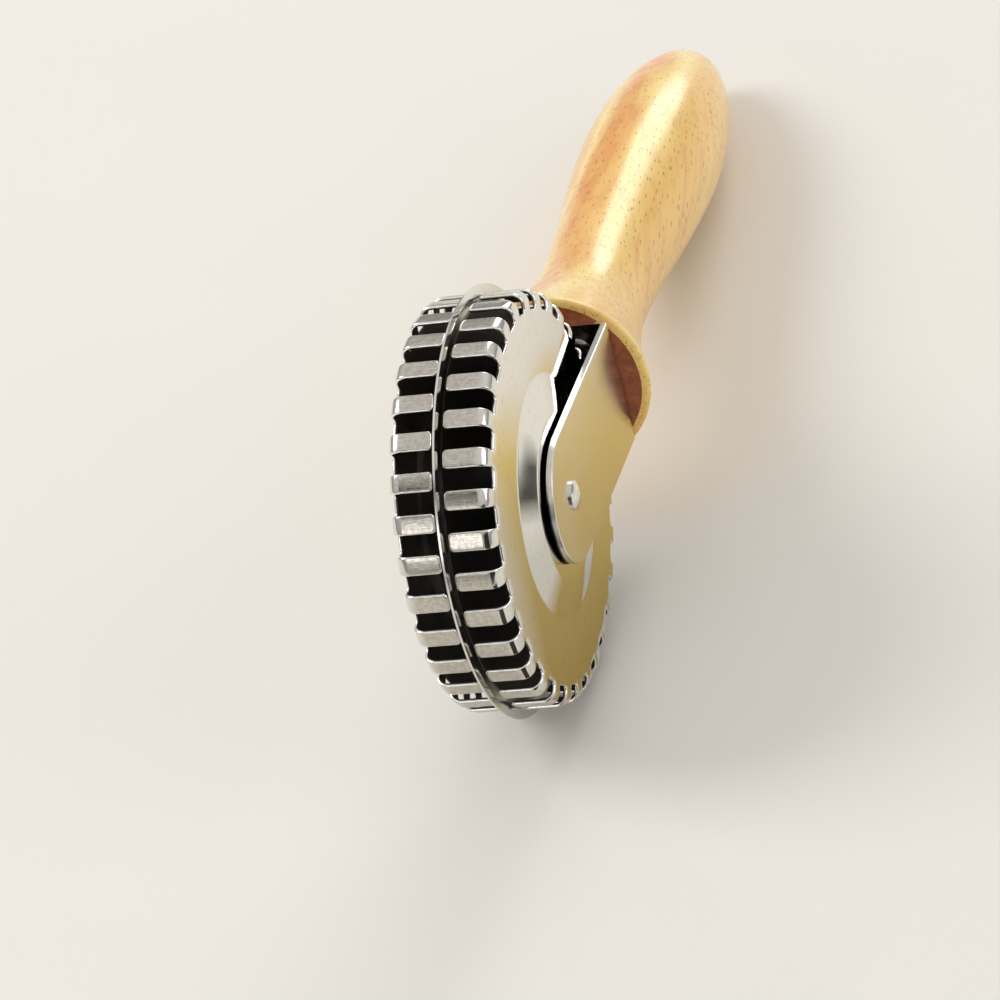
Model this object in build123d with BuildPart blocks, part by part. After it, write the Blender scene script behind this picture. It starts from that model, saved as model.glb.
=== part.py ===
"""Pastry crimper: a toothed crimping wheel that turns in a strap fork on a turned wood handle.

Frame: +X points forward from the handle to the wheel, +Y is the left side and +Z is up.
The crimper is modelled as it lies on a table: the cutting disc and the swell of the handle
both touch Z = 0, and the origin is the centre of the bottom of its bounding box.
All lengths are in millimetres and all angles in degrees.
"""
import os
from math import asin, cos, degrees, radians, sin, sqrt, tan

from build123d import *

# Cutting disc, in the middle plane of the wheel
DISC_RADIUS = 40.0
DISC_THICKNESS = 0.8
EDGE_THICKNESS = 0.4
BEVEL_WIDTH = 1.2

# Stamped covers, one on each side of the disc, with fingers bent over towards it
SHEET = 0.8
TOOTH_COUNT = 32
TOOTH_WIDTH = 3.6
TOOTH_RADIUS = 38.3
TOOTH_END = 1.0
TOOTH_CORNER = 0.9
RIM_BEND = 2.4
RIM_HEIGHT = 9.5
SLOT_FLOOR = 34.6
SLOT_CORNER = 0.7
CREASE_RADIUS = 22.6
CREASE_HEIGHT = 9.9
BOSS_RADIUS = 15.3
BOSS_HEIGHT = 11.5
FACE_BEND = 4.0
WHEEL_TURN = 9.2

# Hub: a flared sleeve through disc, spacers and covers
SLEEVE_RADIUS = 3.0
SLEEVE_FLARE_RADIUS = 4.2
SLEEVE_FLARE = 0.25
SPACER_RADIUS = 7.0
SPACER_CHAMFER = 0.5

# Axle rivet
AXLE_RADIUS = 1.8
AXLE_CLEARANCE = 0.06
RIVET_HEAD_RADIUS = 2.75
RIVET_HEAD_HEIGHT = 1.3
RIVET_HEAD_RIM = 0.4

# Fork: a flat strap bent to a U, measured from the axle along the handle
STRAP = 1.2
FORK_WIDTH = 25.0
FORK_HALF_SPAN = 13.3
WEB_DISTANCE = 43.2
FORK_FOLD = 1.8
STRAP_EDGE = 0.25

# Screws that hold the web to the handle, set off on a diagonal to clear the disc
SCREW_SIDE = 6.7
SCREW_RISE = 7.3
SCREW_HEAD_RADIUS = 3.2
SCREW_HEAD_HEIGHT = 2.0
SCREW_HEAD_EDGE = 0.9
SCREW_RADIUS = 1.5
SCREW_LENGTH = 16.0
SCREW_POINT = 3.0
SCREW_POINT_RADIUS = 0.3
RECESS_LENGTH = 3.8
RECESS_WIDTH = 0.9
RECESS_DEPTH = 1.2

# Turned handle, measured along its axis from the face that meets the web
HANDLE_END_RADIUS = 18.3
HANDLE_RIM = 0.8
FLARE_DRAW = (11.0, 14.3)
NECK_AT = 34.0
NECK_RADIUS = 11.0
NECK_DRAW = 12.0
SWELL_AT = 86.0
SWELL_RADIUS = 13.9
SWELL_DRAW = 17.0
TIP_LENGTH = 45.0

# At rest the swell and rounded tip form an ellipse that touches the table, which sets the slope
swell_distance = WEB_DISTANCE + SWELL_AT
slope_a = swell_distance**2 - TIP_LENGTH**2 + SWELL_RADIUS**2
slope_b = DISC_RADIUS * swell_distance
slope_c = DISC_RADIUS**2 - SWELL_RADIUS**2
HANDLE_SLOPE = degrees(asin((slope_b - sqrt(slope_b**2 - slope_a * slope_c)) / slope_a))
slope_cos = cos(radians(HANDLE_SLOPE))
slope_sin = sin(radians(HANDLE_SLOPE))

# The tip's furthest point back sets the overall length, and the origin is half way along it
tip_reach = swell_distance * slope_cos + sqrt(
    (TIP_LENGTH * slope_cos) ** 2 + (SWELL_RADIUS * slope_sin) ** 2
)
overall_length = tip_reach + DISC_RADIUS
wheel_centre = (overall_length / 2 - DISC_RADIUS, 0, DISC_RADIUS)

# Directions: back along the handle, and square to it across the strap
along_handle = (-slope_cos, 0, -slope_sin)
across_strap = (-slope_sin, 0, slope_cos)

# Planes: the wheel's middle plane, a section through the axle, and three on the handle's axis
wheel_plane = Plane(origin=wheel_centre, x_dir=(1, 0, 0), z_dir=(0, 1, 0))
axle_section = Plane(origin=wheel_centre, x_dir=(1, 0, 0), z_dir=(0, 0, 1))
handle_side = Plane(origin=wheel_centre, x_dir=along_handle, z_dir=(0, 1, 0))
handle_top = Plane(origin=wheel_centre, x_dir=along_handle, z_dir=(slope_sin, 0, -slope_cos))
handle_end = Plane(origin=wheel_centre, x_dir=(0, 1, 0), z_dir=along_handle)
axle = Axis(wheel_centre, (0, 1, 0))
handle_axis = Axis(wheel_centre, along_handle)

web_inside = WEB_DISTANCE - STRAP
screw_spots = [(SCREW_SIDE, -SCREW_RISE), (-SCREW_SIDE, SCREW_RISE)]


def distance_from_axle(shape):
    """Distance of a shape's centre from the axle's line."""
    offset = shape.center() - Vector(*wheel_centre)
    return sqrt(offset.X**2 + offset.Z**2)


def distance_off_disc(shape):
    """Distance of a shape's centre from the disc's middle plane."""
    return abs(shape.center().Y)


def distance_along_handle(shape):
    """Distance of a shape's centre from the axle, measured along the handle's axis."""
    return (shape.center() - Vector(*wheel_centre)).dot(Vector(*along_handle))


# Handle: a flare against the web, a neck, a swell for the palm and a rounded tip
flare_start = WEB_DISTANCE + HANDLE_RIM
neck_distance = WEB_DISTANCE + NECK_AT
tip_distance = swell_distance + TIP_LENGTH

with BuildPart() as handle:
    with BuildSketch(handle_side):
        with BuildLine():
            Line((WEB_DISTANCE, 0), (WEB_DISTANCE, HANDLE_END_RADIUS - HANDLE_RIM))
            RadiusArc(
                (WEB_DISTANCE, HANDLE_END_RADIUS - HANDLE_RIM),
                (flare_start, HANDLE_END_RADIUS),
                HANDLE_RIM,
            )
            Bezier(
                (flare_start, HANDLE_END_RADIUS),
                (WEB_DISTANCE + FLARE_DRAW[0], FLARE_DRAW[1]),
                (neck_distance - NECK_DRAW, NECK_RADIUS),
                (neck_distance, NECK_RADIUS),
            )
            Bezier(
                (neck_distance, NECK_RADIUS),
                (neck_distance + SWELL_DRAW, NECK_RADIUS),
                (swell_distance - SWELL_DRAW, SWELL_RADIUS),
                (swell_distance, SWELL_RADIUS),
            )
            EllipticalCenterArc((swell_distance, 0), TIP_LENGTH, SWELL_RADIUS, 0, arc_size=90)
            Line((tip_distance, 0), (WEB_DISTANCE, 0))
        make_face()
    revolve(axis=handle_axis)
    with BuildSketch(handle_end.offset(WEB_DISTANCE)):
        with Locations(*screw_spots):
            Circle(SCREW_RADIUS)
    extrude(amount=SCREW_LENGTH - STRAP, mode=Mode.SUBTRACT)
handle.part.label = "handle"

# Fork: strap bent to a U round the wheel, with round ends about the axle
with BuildPart() as fork:
    with BuildSketch(handle_top):
        with BuildLine():
            FilletPolyline(
                (-FORK_WIDTH / 2, FORK_HALF_SPAN),
                (WEB_DISTANCE, FORK_HALF_SPAN),
                (WEB_DISTANCE, -FORK_HALF_SPAN),
                (-FORK_WIDTH / 2, -FORK_HALF_SPAN),
                radius=FORK_FOLD,
            )
            offset(amount=STRAP, side=Side.RIGHT)
        make_face()
    extrude(amount=FORK_WIDTH / 2, both=True)
    with BuildSketch(handle_side):
        Circle(FORK_WIDTH / 2)
        with Locations((WEB_DISTANCE / 2, 0)):
            Rectangle(WEB_DISTANCE, FORK_WIDTH)
    extrude(amount=FORK_HALF_SPAN, both=True, mode=Mode.INTERSECT)
    outer_faces = fork.faces().filter_by(Axis.Y).group_by(Axis.Y)
    fillet(outer_faces[0].edges() + outer_faces[-1].edges(), radius=STRAP_EDGE)
    with BuildSketch(handle_side):
        Circle(AXLE_RADIUS)
    extrude(amount=FORK_HALF_SPAN, both=True, mode=Mode.SUBTRACT)
    with BuildSketch(handle_end.offset(web_inside)):
        with Locations(*screw_spots):
            Circle(SCREW_RADIUS)
    extrude(amount=STRAP, mode=Mode.SUBTRACT)
fork.part.label = "fork"

# Axle rivet: shank through both arms, with a domed head on each outer face
head_seat = FORK_HALF_SPAN
head_rim_top = head_seat + RIVET_HEAD_RIM
head_top = head_seat + RIVET_HEAD_HEIGHT
dome_rise = head_top - head_rim_top
dome_radius = (RIVET_HEAD_RADIUS**2 + dome_rise**2) / (2 * dome_rise)

with BuildPart() as axle_rivet:
    with BuildSketch(axle_section):
        with BuildLine():
            Polyline(
                (0, 0),
                (AXLE_RADIUS, 0),
                (AXLE_RADIUS, head_seat),
                (RIVET_HEAD_RADIUS, head_seat),
                (RIVET_HEAD_RADIUS, head_rim_top),
            )
            RadiusArc((RIVET_HEAD_RADIUS, head_rim_top), (0, head_top), -dome_radius)
            Line((0, head_top), (0, 0))
        make_face()
    revolve(axis=axle)
    mirror(about=wheel_plane)
axle_rivet.part.label = "axle_rivet"

# Screws: two pan heads inside the web, with shanks that end in points in the handle
head_plane = handle_end.offset(web_inside - SCREW_HEAD_HEIGHT)

with BuildPart() as fork_screws:
    with BuildSketch(head_plane):
        with Locations(*screw_spots):
            Circle(SCREW_HEAD_RADIUS)
    extrude(amount=SCREW_HEAD_HEIGHT)
    head_edges = fork_screws.edges().group_by(distance_along_handle)[0]
    fillet(head_edges, radius=SCREW_HEAD_EDGE)
    with BuildSketch(head_plane):
        with Locations(*screw_spots):
            Rectangle(RECESS_LENGTH, RECESS_WIDTH, rotation=45)
            Rectangle(RECESS_LENGTH, RECESS_WIDTH, rotation=-45)
    extrude(amount=RECESS_DEPTH, mode=Mode.SUBTRACT)
    with BuildSketch(handle_end.offset(web_inside)):
        with Locations(*screw_spots):
            Circle(SCREW_RADIUS)
    extrude(amount=SCREW_LENGTH)
    point_edges = fork_screws.edges().group_by(distance_along_handle)[-1]
    chamfer(point_edges, length=SCREW_POINT, length2=SCREW_RADIUS - SCREW_POINT_RADIUS)
fork_screws.part.label = "fork_screws"

# Cutting disc: thin plate with a bevel on both sides of its edge
with BuildPart() as cutting_disc:
    with BuildSketch(axle_section):
        with BuildLine():
            Polyline(
                (SLEEVE_RADIUS, -DISC_THICKNESS / 2),
                (DISC_RADIUS - BEVEL_WIDTH, -DISC_THICKNESS / 2),
                (DISC_RADIUS, -EDGE_THICKNESS / 2),
                (DISC_RADIUS, EDGE_THICKNESS / 2),
                (DISC_RADIUS - BEVEL_WIDTH, DISC_THICKNESS / 2),
                (SLEEVE_RADIUS, DISC_THICKNESS / 2),
                close=True,
            )
        make_face()
    revolve(axis=axle)
cutting_disc.part.label = "cutting_disc"


slot_depth = TOOTH_RADIUS + SHEET - SLOT_FLOOR
slot_middle = SLOT_FLOOR + slot_depth / 2
tooth_pitch = 360 / TOOTH_COUNT
slot_width = 2 * TOOTH_RADIUS * sin(radians(tooth_pitch / 2)) - TOOTH_WIDTH

# Left cover: domed sheet with its rim bent over to the disc and cut by radial slots into teeth
with BuildPart() as cover_left:
    with BuildSketch(axle_section):
        with BuildLine():
            FilletPolyline(
                (SLEEVE_RADIUS, BOSS_HEIGHT),
                (BOSS_RADIUS, BOSS_HEIGHT),
                (CREASE_RADIUS, CREASE_HEIGHT),
                (TOOTH_RADIUS, RIM_HEIGHT),
                (TOOTH_RADIUS, TOOTH_END),
                radius=[FACE_BEND, FACE_BEND, RIM_BEND],
            )
            offset(amount=SHEET, side=Side.RIGHT)
        make_face()
    revolve(axis=axle)
    with BuildSketch(wheel_plane):
        with PolarLocations(slot_middle, TOOTH_COUNT, start_angle=WHEEL_TURN):
            RectangleRounded(slot_depth, slot_width, SLOT_CORNER)
    extrude(amount=BOSS_HEIGHT, mode=Mode.SUBTRACT)
    tooth_ends = cover_left.faces().filter_by(Axis.Y).sort_by(distance_off_disc)[:TOOTH_COUNT]
    tooth_corners = tooth_ends.edges().filter_by(GeomType.LINE)
    fillet(tooth_corners, radius=TOOTH_CORNER)
cover_left.part.label = "cover_left"

# Right cover: the same stamping turned over, with its teeth half a pitch out of step
with BuildPart() as cover_right:
    add(cover_left.part.mirror(wheel_plane).rotate(axle, tooth_pitch / 2))
cover_right.part.label = "cover_right"

# Hub sleeve: a tube on the axle, flared over both covers to hold the wheel together
flare_top = BOSS_HEIGHT + SLEEVE_FLARE
sleeve_bore = AXLE_RADIUS + AXLE_CLEARANCE

with BuildPart() as hub_sleeve:
    with BuildSketch(axle_section):
        with BuildLine():
            Polyline(
                (sleeve_bore, -flare_top),
                (SLEEVE_FLARE_RADIUS, -flare_top),
                (SLEEVE_FLARE_RADIUS, -BOSS_HEIGHT),
                (SLEEVE_RADIUS, -BOSS_HEIGHT),
                (SLEEVE_RADIUS, BOSS_HEIGHT),
                (SLEEVE_FLARE_RADIUS, BOSS_HEIGHT),
                (SLEEVE_FLARE_RADIUS, flare_top),
                (sleeve_bore, flare_top),
                close=True,
            )
        make_face()
    revolve(axis=axle)
hub_sleeve.part.label = "hub_sleeve"

# Spacers: a ring on the sleeve between the disc and each cover's boss
spacer_length = BOSS_HEIGHT - SHEET - DISC_THICKNESS / 2

with BuildPart() as spacer_left:
    with BuildSketch(wheel_plane.offset(DISC_THICKNESS / 2)):
        Circle(SPACER_RADIUS)
        Circle(SLEEVE_RADIUS, mode=Mode.SUBTRACT)
    extrude(amount=spacer_length)
    chamfer(spacer_left.edges().group_by(distance_from_axle)[-1], length=SPACER_CHAMFER)
spacer_left.part.label = "spacer_left"

with BuildPart() as spacer_right:
    mirror(spacer_left.part, about=wheel_plane)
spacer_right.part.label = "spacer_right"

os.makedirs("parts", exist_ok=True)
export_step(handle.part, "parts/handle.step")
export_step(fork.part, "parts/fork.step")
export_step(axle_rivet.part, "parts/axle_rivet.step")
export_step(fork_screws.part, "parts/fork_screws.step")
export_step(cutting_disc.part, "parts/cutting_disc.step")
export_step(cover_left.part, "parts/cover_left.step")
export_step(cover_right.part, "parts/cover_right.step")
export_step(hub_sleeve.part, "parts/hub_sleeve.step")
export_step(spacer_left.part, "parts/spacer_left.step")
export_step(spacer_right.part, "parts/spacer_right.step")
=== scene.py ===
# %% [markdown]
# A pastry crimper is a rolling kitchen tool. Its thin disc cuts, and the row of steel teeth on each
# side of the disc presses two layers together. This lesson dresses a measured CAD model of one. The
# CAD solids give every size and place. Blender adds what the eye needs: a smooth turned handle with
# wood grain, mirror-bright stampings with scuffed teeth, light, a floor and a camera.

import bmesh
import bpy
import numpy as np
from math import radians
from mathutils import Matrix, Vector


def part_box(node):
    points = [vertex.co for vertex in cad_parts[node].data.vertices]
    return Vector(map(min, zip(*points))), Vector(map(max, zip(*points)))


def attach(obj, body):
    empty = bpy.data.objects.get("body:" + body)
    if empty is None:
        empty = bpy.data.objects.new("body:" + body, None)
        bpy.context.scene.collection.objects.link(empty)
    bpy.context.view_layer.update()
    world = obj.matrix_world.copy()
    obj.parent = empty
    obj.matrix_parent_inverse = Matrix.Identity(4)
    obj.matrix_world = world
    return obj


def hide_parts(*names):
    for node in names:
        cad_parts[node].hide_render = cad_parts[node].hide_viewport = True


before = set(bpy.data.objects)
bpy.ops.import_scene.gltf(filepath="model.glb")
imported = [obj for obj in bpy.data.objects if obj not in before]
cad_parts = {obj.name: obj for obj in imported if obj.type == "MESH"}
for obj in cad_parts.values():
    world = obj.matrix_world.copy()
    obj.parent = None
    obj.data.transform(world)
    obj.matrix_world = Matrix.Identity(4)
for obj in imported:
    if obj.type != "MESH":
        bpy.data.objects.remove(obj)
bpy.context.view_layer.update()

# %% [markdown]
# Everything is in metres, with +X pointing forward from the handle to the wheel, +Y along the axle
# and +Z up. Three facts from the CAD place every new piece: where the wheel's centre is, how far the
# handle slopes, and where the handle starts. The wheel's centre is the middle of the disc's box.

# %% Find the wheel's centre and the handle's axis
MM = 0.001


def box_of(node):
    """Lowest and highest corner of a CAD node, as arrays."""
    low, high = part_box(node)
    return np.array(low), np.array(high)


disc_low, disc_high = box_of("cutting_disc")
wheel_centre = (disc_low + disc_high) / 2
disc_radius = (disc_high[2] - disc_low[2]) / 2
HANDLE_SLOPE = radians(10.7003)
along_handle = np.array([-np.cos(HANDLE_SLOPE), 0.0, -np.sin(HANDLE_SLOPE)])
across_strap = np.array([-np.sin(HANDLE_SLOPE), 0.0, np.cos(HANDLE_SLOPE)])
sideways = np.array([0.0, 1.0, 0.0])
print("wheel centre", wheel_centre.round(5), "disc radius", round(disc_radius, 4))

# %% [markdown]
# Two shapes are worth making again as smooth surfaces: the turned handle and the stamped covers.
# A CAD export is a mesh of uneven triangles, and a mirror finish shows every one of them. A surface
# worked out on a regular grid reflects cleanly. Two helpers number the faces of a grid and turn the
# grid's points into a mesh.

# %% Helpers that turn grids of points into one mesh


def grid_faces(rows, columns, start, wrap):
    """Quads of a grid whose points are numbered row by row from start; wrap joins the last column
    to the first."""
    row = np.arange(rows - 1)[:, None]
    column = np.arange(columns if wrap else columns - 1)[None, :]
    following = (column + 1) % columns
    a = start + row * columns + column
    b = start + row * columns + following
    c = start + (row + 1) * columns + following
    d = start + (row + 1) * columns + column
    return np.stack([a, b, c, d], axis=-1).reshape(-1, 4)


def mesh_piece(name, points, quads, smooth=True):
    """A mesh object from an (n, 3) array of points and an (m, 4) array of corner numbers."""
    mesh = bpy.data.meshes.new(name)
    mesh.vertices.add(len(points))
    mesh.vertices.foreach_set("co", np.asarray(points, np.float32).ravel())
    mesh.loops.add(quads.size)
    mesh.loops.foreach_set("vertex_index", quads.ravel().astype(np.int32))
    mesh.polygons.add(len(quads))
    mesh.polygons.foreach_set("loop_start", np.arange(0, quads.size, 4, dtype=np.int32))
    mesh.polygons.foreach_set("use_smooth", np.full(len(quads), smooth))
    mesh.update(calc_edges=True)
    mesh.validate()
    piece = bpy.data.objects.new(name, mesh)
    bpy.context.scene.collection.objects.link(piece)
    print(name, "has", len(points), "points and", len(quads), "faces")
    return piece

# %% [markdown]
# The handle was turned on a lathe, so every cross-section is a circle. Its outline has four parts: a
# sanded round at the rim of the end face, a flare that thins to the neck, a swell that fills the
# palm, and a long rounded tip that is part of an ellipse. It could be built from a few rings and a
# subdivision modifier, but then the sizes would only be roughly those of the CAD. Here Bezier curves
# make the first three parts. Where two of them meet, their control points lie on one line, so the
# surface runs on with no corner. Each place below is a distance from the end face and a radius. The
# sizes are the CAD's, only the rim is rounder, as in the photograph.

# %% The handle's outline, in millimetres from its end face
FLAT_RADIUS = 16.4
RIM_PULL = 2.0
FLARE_START = (2.4, 17.8)
FLARE_PULL = (11.0, 14.3)
NECK = (34.0, 11.0)
NECK_PULL = 12.0
SWELL = (86.0, 13.9)
SWELL_PULL = 17.0
TIP_LENGTH = 45.0
END_ROWS = 24
RIM_ROWS = 20
FLARE_ROWS = 70
PALM_ROWS = 90


def bezier(p0, p1, p2, p3, count):
    """Points on a cubic Bezier curve: the four corners weighted by (1-t)^3, 3t(1-t)^2, 3t^2(1-t)
    and t^3, with t running evenly from 0 to 1."""
    t = np.linspace(0, 1, count)[:, None]
    corners = np.array([p0, p1, p2, p3], float)
    weights = np.hstack([(1 - t) ** 3, 3 * t * (1 - t) ** 2, 3 * t**2 * (1 - t), t**3])
    return weights @ corners


end_face = np.column_stack([np.zeros(END_ROWS), np.linspace(0, FLAT_RADIUS, END_ROWS)])
flare_slope = (FLARE_START[1] - FLARE_PULL[1]) / (FLARE_PULL[0] - FLARE_START[0])
over_rim = (FLARE_START[0] - RIM_PULL, FLARE_START[1] + RIM_PULL * flare_slope)
rim = bezier((0, FLAT_RADIUS), (0, FLAT_RADIUS + RIM_PULL), over_rim, FLARE_START, RIM_ROWS)
before_neck = (NECK[0] - NECK_PULL, NECK[1])
flare = bezier(FLARE_START, FLARE_PULL, before_neck, NECK, FLARE_ROWS)
after_neck = (NECK[0] + SWELL_PULL, NECK[1])
before_swell = (SWELL[0] - SWELL_PULL, SWELL[1])
palm = bezier(NECK, after_neck, before_swell, SWELL, PALM_ROWS)
turn = np.linspace(0, np.pi / 2, PALM_ROWS)
tip = np.column_stack([SWELL[0] + TIP_LENGTH * np.sin(turn), SWELL[1] * np.cos(turn)])
outline = np.vstack([end_face[:-1], rim, flare[1:], palm[1:], tip[1:]])
print("handle outline points:", len(outline), "length in mm:", outline[:, 0].max())
print("widest radius of the flare:", round(float(rim[:, 1].max()), 2))

# %% [markdown]
# A lathe shape is the outline with one more number, the angle round the axis. A screw modifier could
# sweep it, but the axis slopes, and a formula with the axis in it puts every point in its final
# place. Rows follow the outline and columns go round. The first and last rows shrink to a point on
# the axis, and merging the points there closes both ends. The end face lies against the strap.

# %% Turn the outline into the handle
WEB_DISTANCE = 43.2
AROUND = 160


def lathe(outline_mm, start, axis, first, second, around):
    """Surface of revolution: start + distance * axis + radius * (cos angle * first + sin angle *
    second), for each outline point (distance, radius) and each angle round the axis."""
    angle = np.linspace(0, 2 * np.pi, around, endpoint=False)
    distance = outline_mm[:, 0, None, None] * MM
    radius = outline_mm[:, 1, None, None] * MM
    spoke = np.cos(angle)[None, :, None] * first + np.sin(angle)[None, :, None] * second
    return (start + distance * axis + radius * spoke).reshape(-1, 3)


def merge_points(piece, distance=1e-7):
    """Joins points of a piece that lie closer together than the distance."""
    build = bmesh.new()
    build.from_mesh(piece.data)
    bmesh.ops.remove_doubles(build, verts=build.verts, dist=distance)
    bmesh.ops.recalc_face_normals(build, faces=build.faces)
    build.to_mesh(piece.data)
    build.free()


web_face = wheel_centre + WEB_DISTANCE * MM * along_handle
points = lathe(outline, web_face, along_handle, across_strap, sideways, AROUND)
handle = mesh_piece("turned_handle", points, grid_faces(len(outline), AROUND, 0, True))
merge_points(handle)
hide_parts("handle")
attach(handle, "frame")
print("handle starts at", web_face.round(4), "and has", len(handle.data.polygons), "faces")

# %% [markdown]
# Each cover is one piece of sheet steel. A press domes it, punches slots into its rim and bends the
# strips between the slots over towards the disc, where they become teeth. The outline below is the
# outer skin from the hub to the free end of a tooth. Its corners are rounded the way a press rounds
# them, with straight runs between arcs, so the mirror finish bends light only where the steel bends.

# %% The cover's outline, as radius and height over the disc's middle plane
HUB_EDGE = (3.0, 11.5)
BOSS_EDGE = (15.3, 11.5)
RING_EDGE = (22.6, 9.9)
TOOTH_RADIUS = 38.3
TOOTH_BEND = (TOOTH_RADIUS, 9.5)
TOOTH_END = (TOOTH_RADIUS, 1.0)
COVER_CORNERS = [HUB_EDGE, BOSS_EDGE, RING_EDGE, TOOTH_BEND, TOOTH_END]
COVER_ROUNDS = [4.0, 4.0, 2.4]
SLOT_FLOOR = 34.6
PATH_STEP = 0.02


def rounded_path(corners, rounds, step):
    """Points along straight runs joined by arcs. Each arc touches both runs at its radius times the
    tangent of half the turn from the corner, and its points lie on a circle of that radius."""
    corners = np.array(corners, float)
    path = [corners[:1]]
    for before, corner, after, radius in zip(corners, corners[1:], corners[2:], rounds):
        arrive = (corner - before) / np.linalg.norm(corner - before)
        leave = (after - corner) / np.linalg.norm(after - corner)
        bend = np.arccos(np.clip(arrive @ leave, -1, 1))
        side = np.sign(arrive[0] * leave[1] - arrive[1] * leave[0])
        normal = side * np.array([-arrive[1], arrive[0]])
        start = corner - arrive * radius * np.tan(bend / 2)
        angle = np.linspace(0, bend, int(radius * bend / step) + 2)[:, None]
        path.append(start + radius * (np.sin(angle) * arrive + (1 - np.cos(angle)) * normal))
    return np.vstack(path + [corners[-1:]])


def travelled(path):
    """Distance along a path to each of its points: the running sum of its steps."""
    return np.concatenate([[0], np.cumsum(np.linalg.norm(np.diff(path, axis=0), axis=1))])


def points_at(path, distances):
    """Points of a path at given distances along it, by straight interpolation of its columns."""
    gone = travelled(path)
    return np.column_stack([np.interp(distances, gone, column) for column in path.T])


fine_path = rounded_path(COVER_CORNERS, COVER_ROUNDS, PATH_STEP)
gone = travelled(fine_path)
slot_at = np.interp(SLOT_FLOOR, fine_path[:, 0], gone)
tooth_length = gone[-1] - slot_at
print("cover outline is", round(gone[-1], 2), "mm long, its tooth", round(tooth_length, 2))

# %% [markdown]
# The rows of the grid are close together only where the steel bends or ends: at the two creases of
# the face, at the rounds of the slot's corners, and near every cut edge, whose rounding needs a few
# rows of its own. Distances from an edge are listed once and used for rows and columns alike.

# %% Rows of the face and of a tooth
SLOT_CORNER = 0.7
TOOTH_CORNER = 0.9
EDGE_ROUND = 0.34
FACE_STEP = 1.6
MIDDLE_ROWS = 28
CREASE_ROWS = np.linspace(-0.55, 0.55, 9)
near_edge = EDGE_ROUND * (1 - np.cos(np.linspace(0, np.pi / 2, 6)))
creases = [np.interp(edge[0], fine_path[:, 0], gone) for edge in (BOSS_EDGE, RING_EDGE)]
face_rows = [near_edge, np.arange(FACE_STEP, slot_at - 1, FACE_STEP), slot_at - near_edge]
face_rows += [crease + CREASE_ROWS for crease in creases]
face_rows = np.unique(np.concatenate(face_rows))
corner_rows = SLOT_CORNER * (1 - np.cos(np.linspace(0, np.pi / 2, 7)))
middle = np.linspace(SLOT_CORNER, tooth_length - TOOTH_CORNER, MIDDLE_ROWS)[1:-1]
end_rows = np.concatenate([near_edge, [0.5, 0.7, TOOTH_CORNER]])
tooth_rows = np.concatenate([corner_rows, middle, tooth_length - end_rows[::-1]])
print("rows on the face:", len(face_rows), "rows on a tooth:", len(tooth_rows))

# %% [markdown]
# The slots have parallel sides, small rounds at their inner corners and wider rounds at the corners
# of the teeth. So the half-width of a tooth is worked out for each row: half the pitch less the angle
# that half a slot takes at that radius. The face of the cover is a full ring of columns, and each
# tooth carries on from its own columns at the ring's edge.

# %% Half the angle of a tooth at each row
TOOTH_COUNT = 32
TOOTH_WIDTH = 3.6
PITCH = 2 * np.pi / TOOTH_COUNT
half_width = TOOTH_WIDTH / 2
half_slot = TOOTH_RADIUS * np.sin(PITCH / 2) - half_width


def corner_inset(distance, radius):
    """How far a rounded corner lies inside its square corner, at a distance from the end."""
    left = np.clip(radius - distance, 0, radius)
    return radius - np.sqrt(radius**2 - left**2)


gap_half = half_slot - corner_inset(tooth_rows, SLOT_CORNER)
gap_half = gap_half + corner_inset(tooth_length - tooth_rows, TOOTH_CORNER)
tooth_radii = points_at(fine_path, slot_at + tooth_rows)[:, 0]
tooth_half = PITCH / 2 - np.arcsin(gap_half / tooth_radii)
side = np.concatenate([near_edge, [1.0]])
columns = np.concatenate([side - half_width, [0.0], half_width - side[::-1]]) / half_width
floor_columns = np.linspace(-1, 1, 6)[1:-1]
print("slot width in mm:", round(2 * half_slot, 2), "columns on a tooth:", len(columns))

# %% [markdown]
# Punched and plated steel has no sharp edges. The plate shows each cut edge as a bright rounded
# line. A bevel modifier could round them, but it leaves uneven faces where the slots' corners curve.
# So every point of the skin knows how far it is from the nearest cut edge. Within the edge's radius
# the skin sinks along a quarter circle, from both sides of the sheet, and a narrow band joins them.

# %% Distance to the nearest cut edge


def edge_distance(row, angle, radius):
    """Distance in millimetres from the nearest cut edge. The slot is a box with rounded inner
    corners: outside it the distance is the length of the part that sticks out past the corner's
    centre, less the corner's radius. At the tooth's end the corner is round the other way."""
    beside = radius * np.abs(np.sin(angle)) - (half_slot - SLOT_CORNER)
    before = slot_at - row + SLOT_CORNER
    outside = np.hypot(np.maximum(beside, 0), np.maximum(before, 0))
    from_slot = outside + np.minimum(np.maximum(beside, before), 0) - SLOT_CORNER
    from_end = slot_at + tooth_length - row
    near_corner = np.hypot(TOOTH_CORNER - from_slot, TOOTH_CORNER - from_end)
    in_corner = (from_slot < TOOTH_CORNER) & (from_end < TOOTH_CORNER)
    nearest = np.minimum(from_slot, np.minimum(from_end, row))
    return np.maximum(np.where(in_corner, TOOTH_CORNER - near_corner, nearest), 0)


def sink(distance):
    """How deep the skin lies below the sheet's face near an edge: a quarter circle."""
    left = np.clip(EDGE_ROUND - distance, 0, EDGE_ROUND)
    return EDGE_ROUND - np.sqrt(EDGE_ROUND**2 - left**2)


print("the skin sinks, at 0, 0.1 and 0.3 mm from an edge:", sink(np.array([0, 0.1, 0.3])).round(3))

# %% [markdown]
# A cover is laid out as one list of rows and angles: the whole ring first, then the teeth. Its two
# skins are the same layout at two depths below the outer outline. A boolean could cut the slots out
# of a plain dish, but it leaves ragged faces that a mirror finish shows.

# %% Lay out a cover's grid
SECTOR = len(columns) + len(floor_columns)


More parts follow.
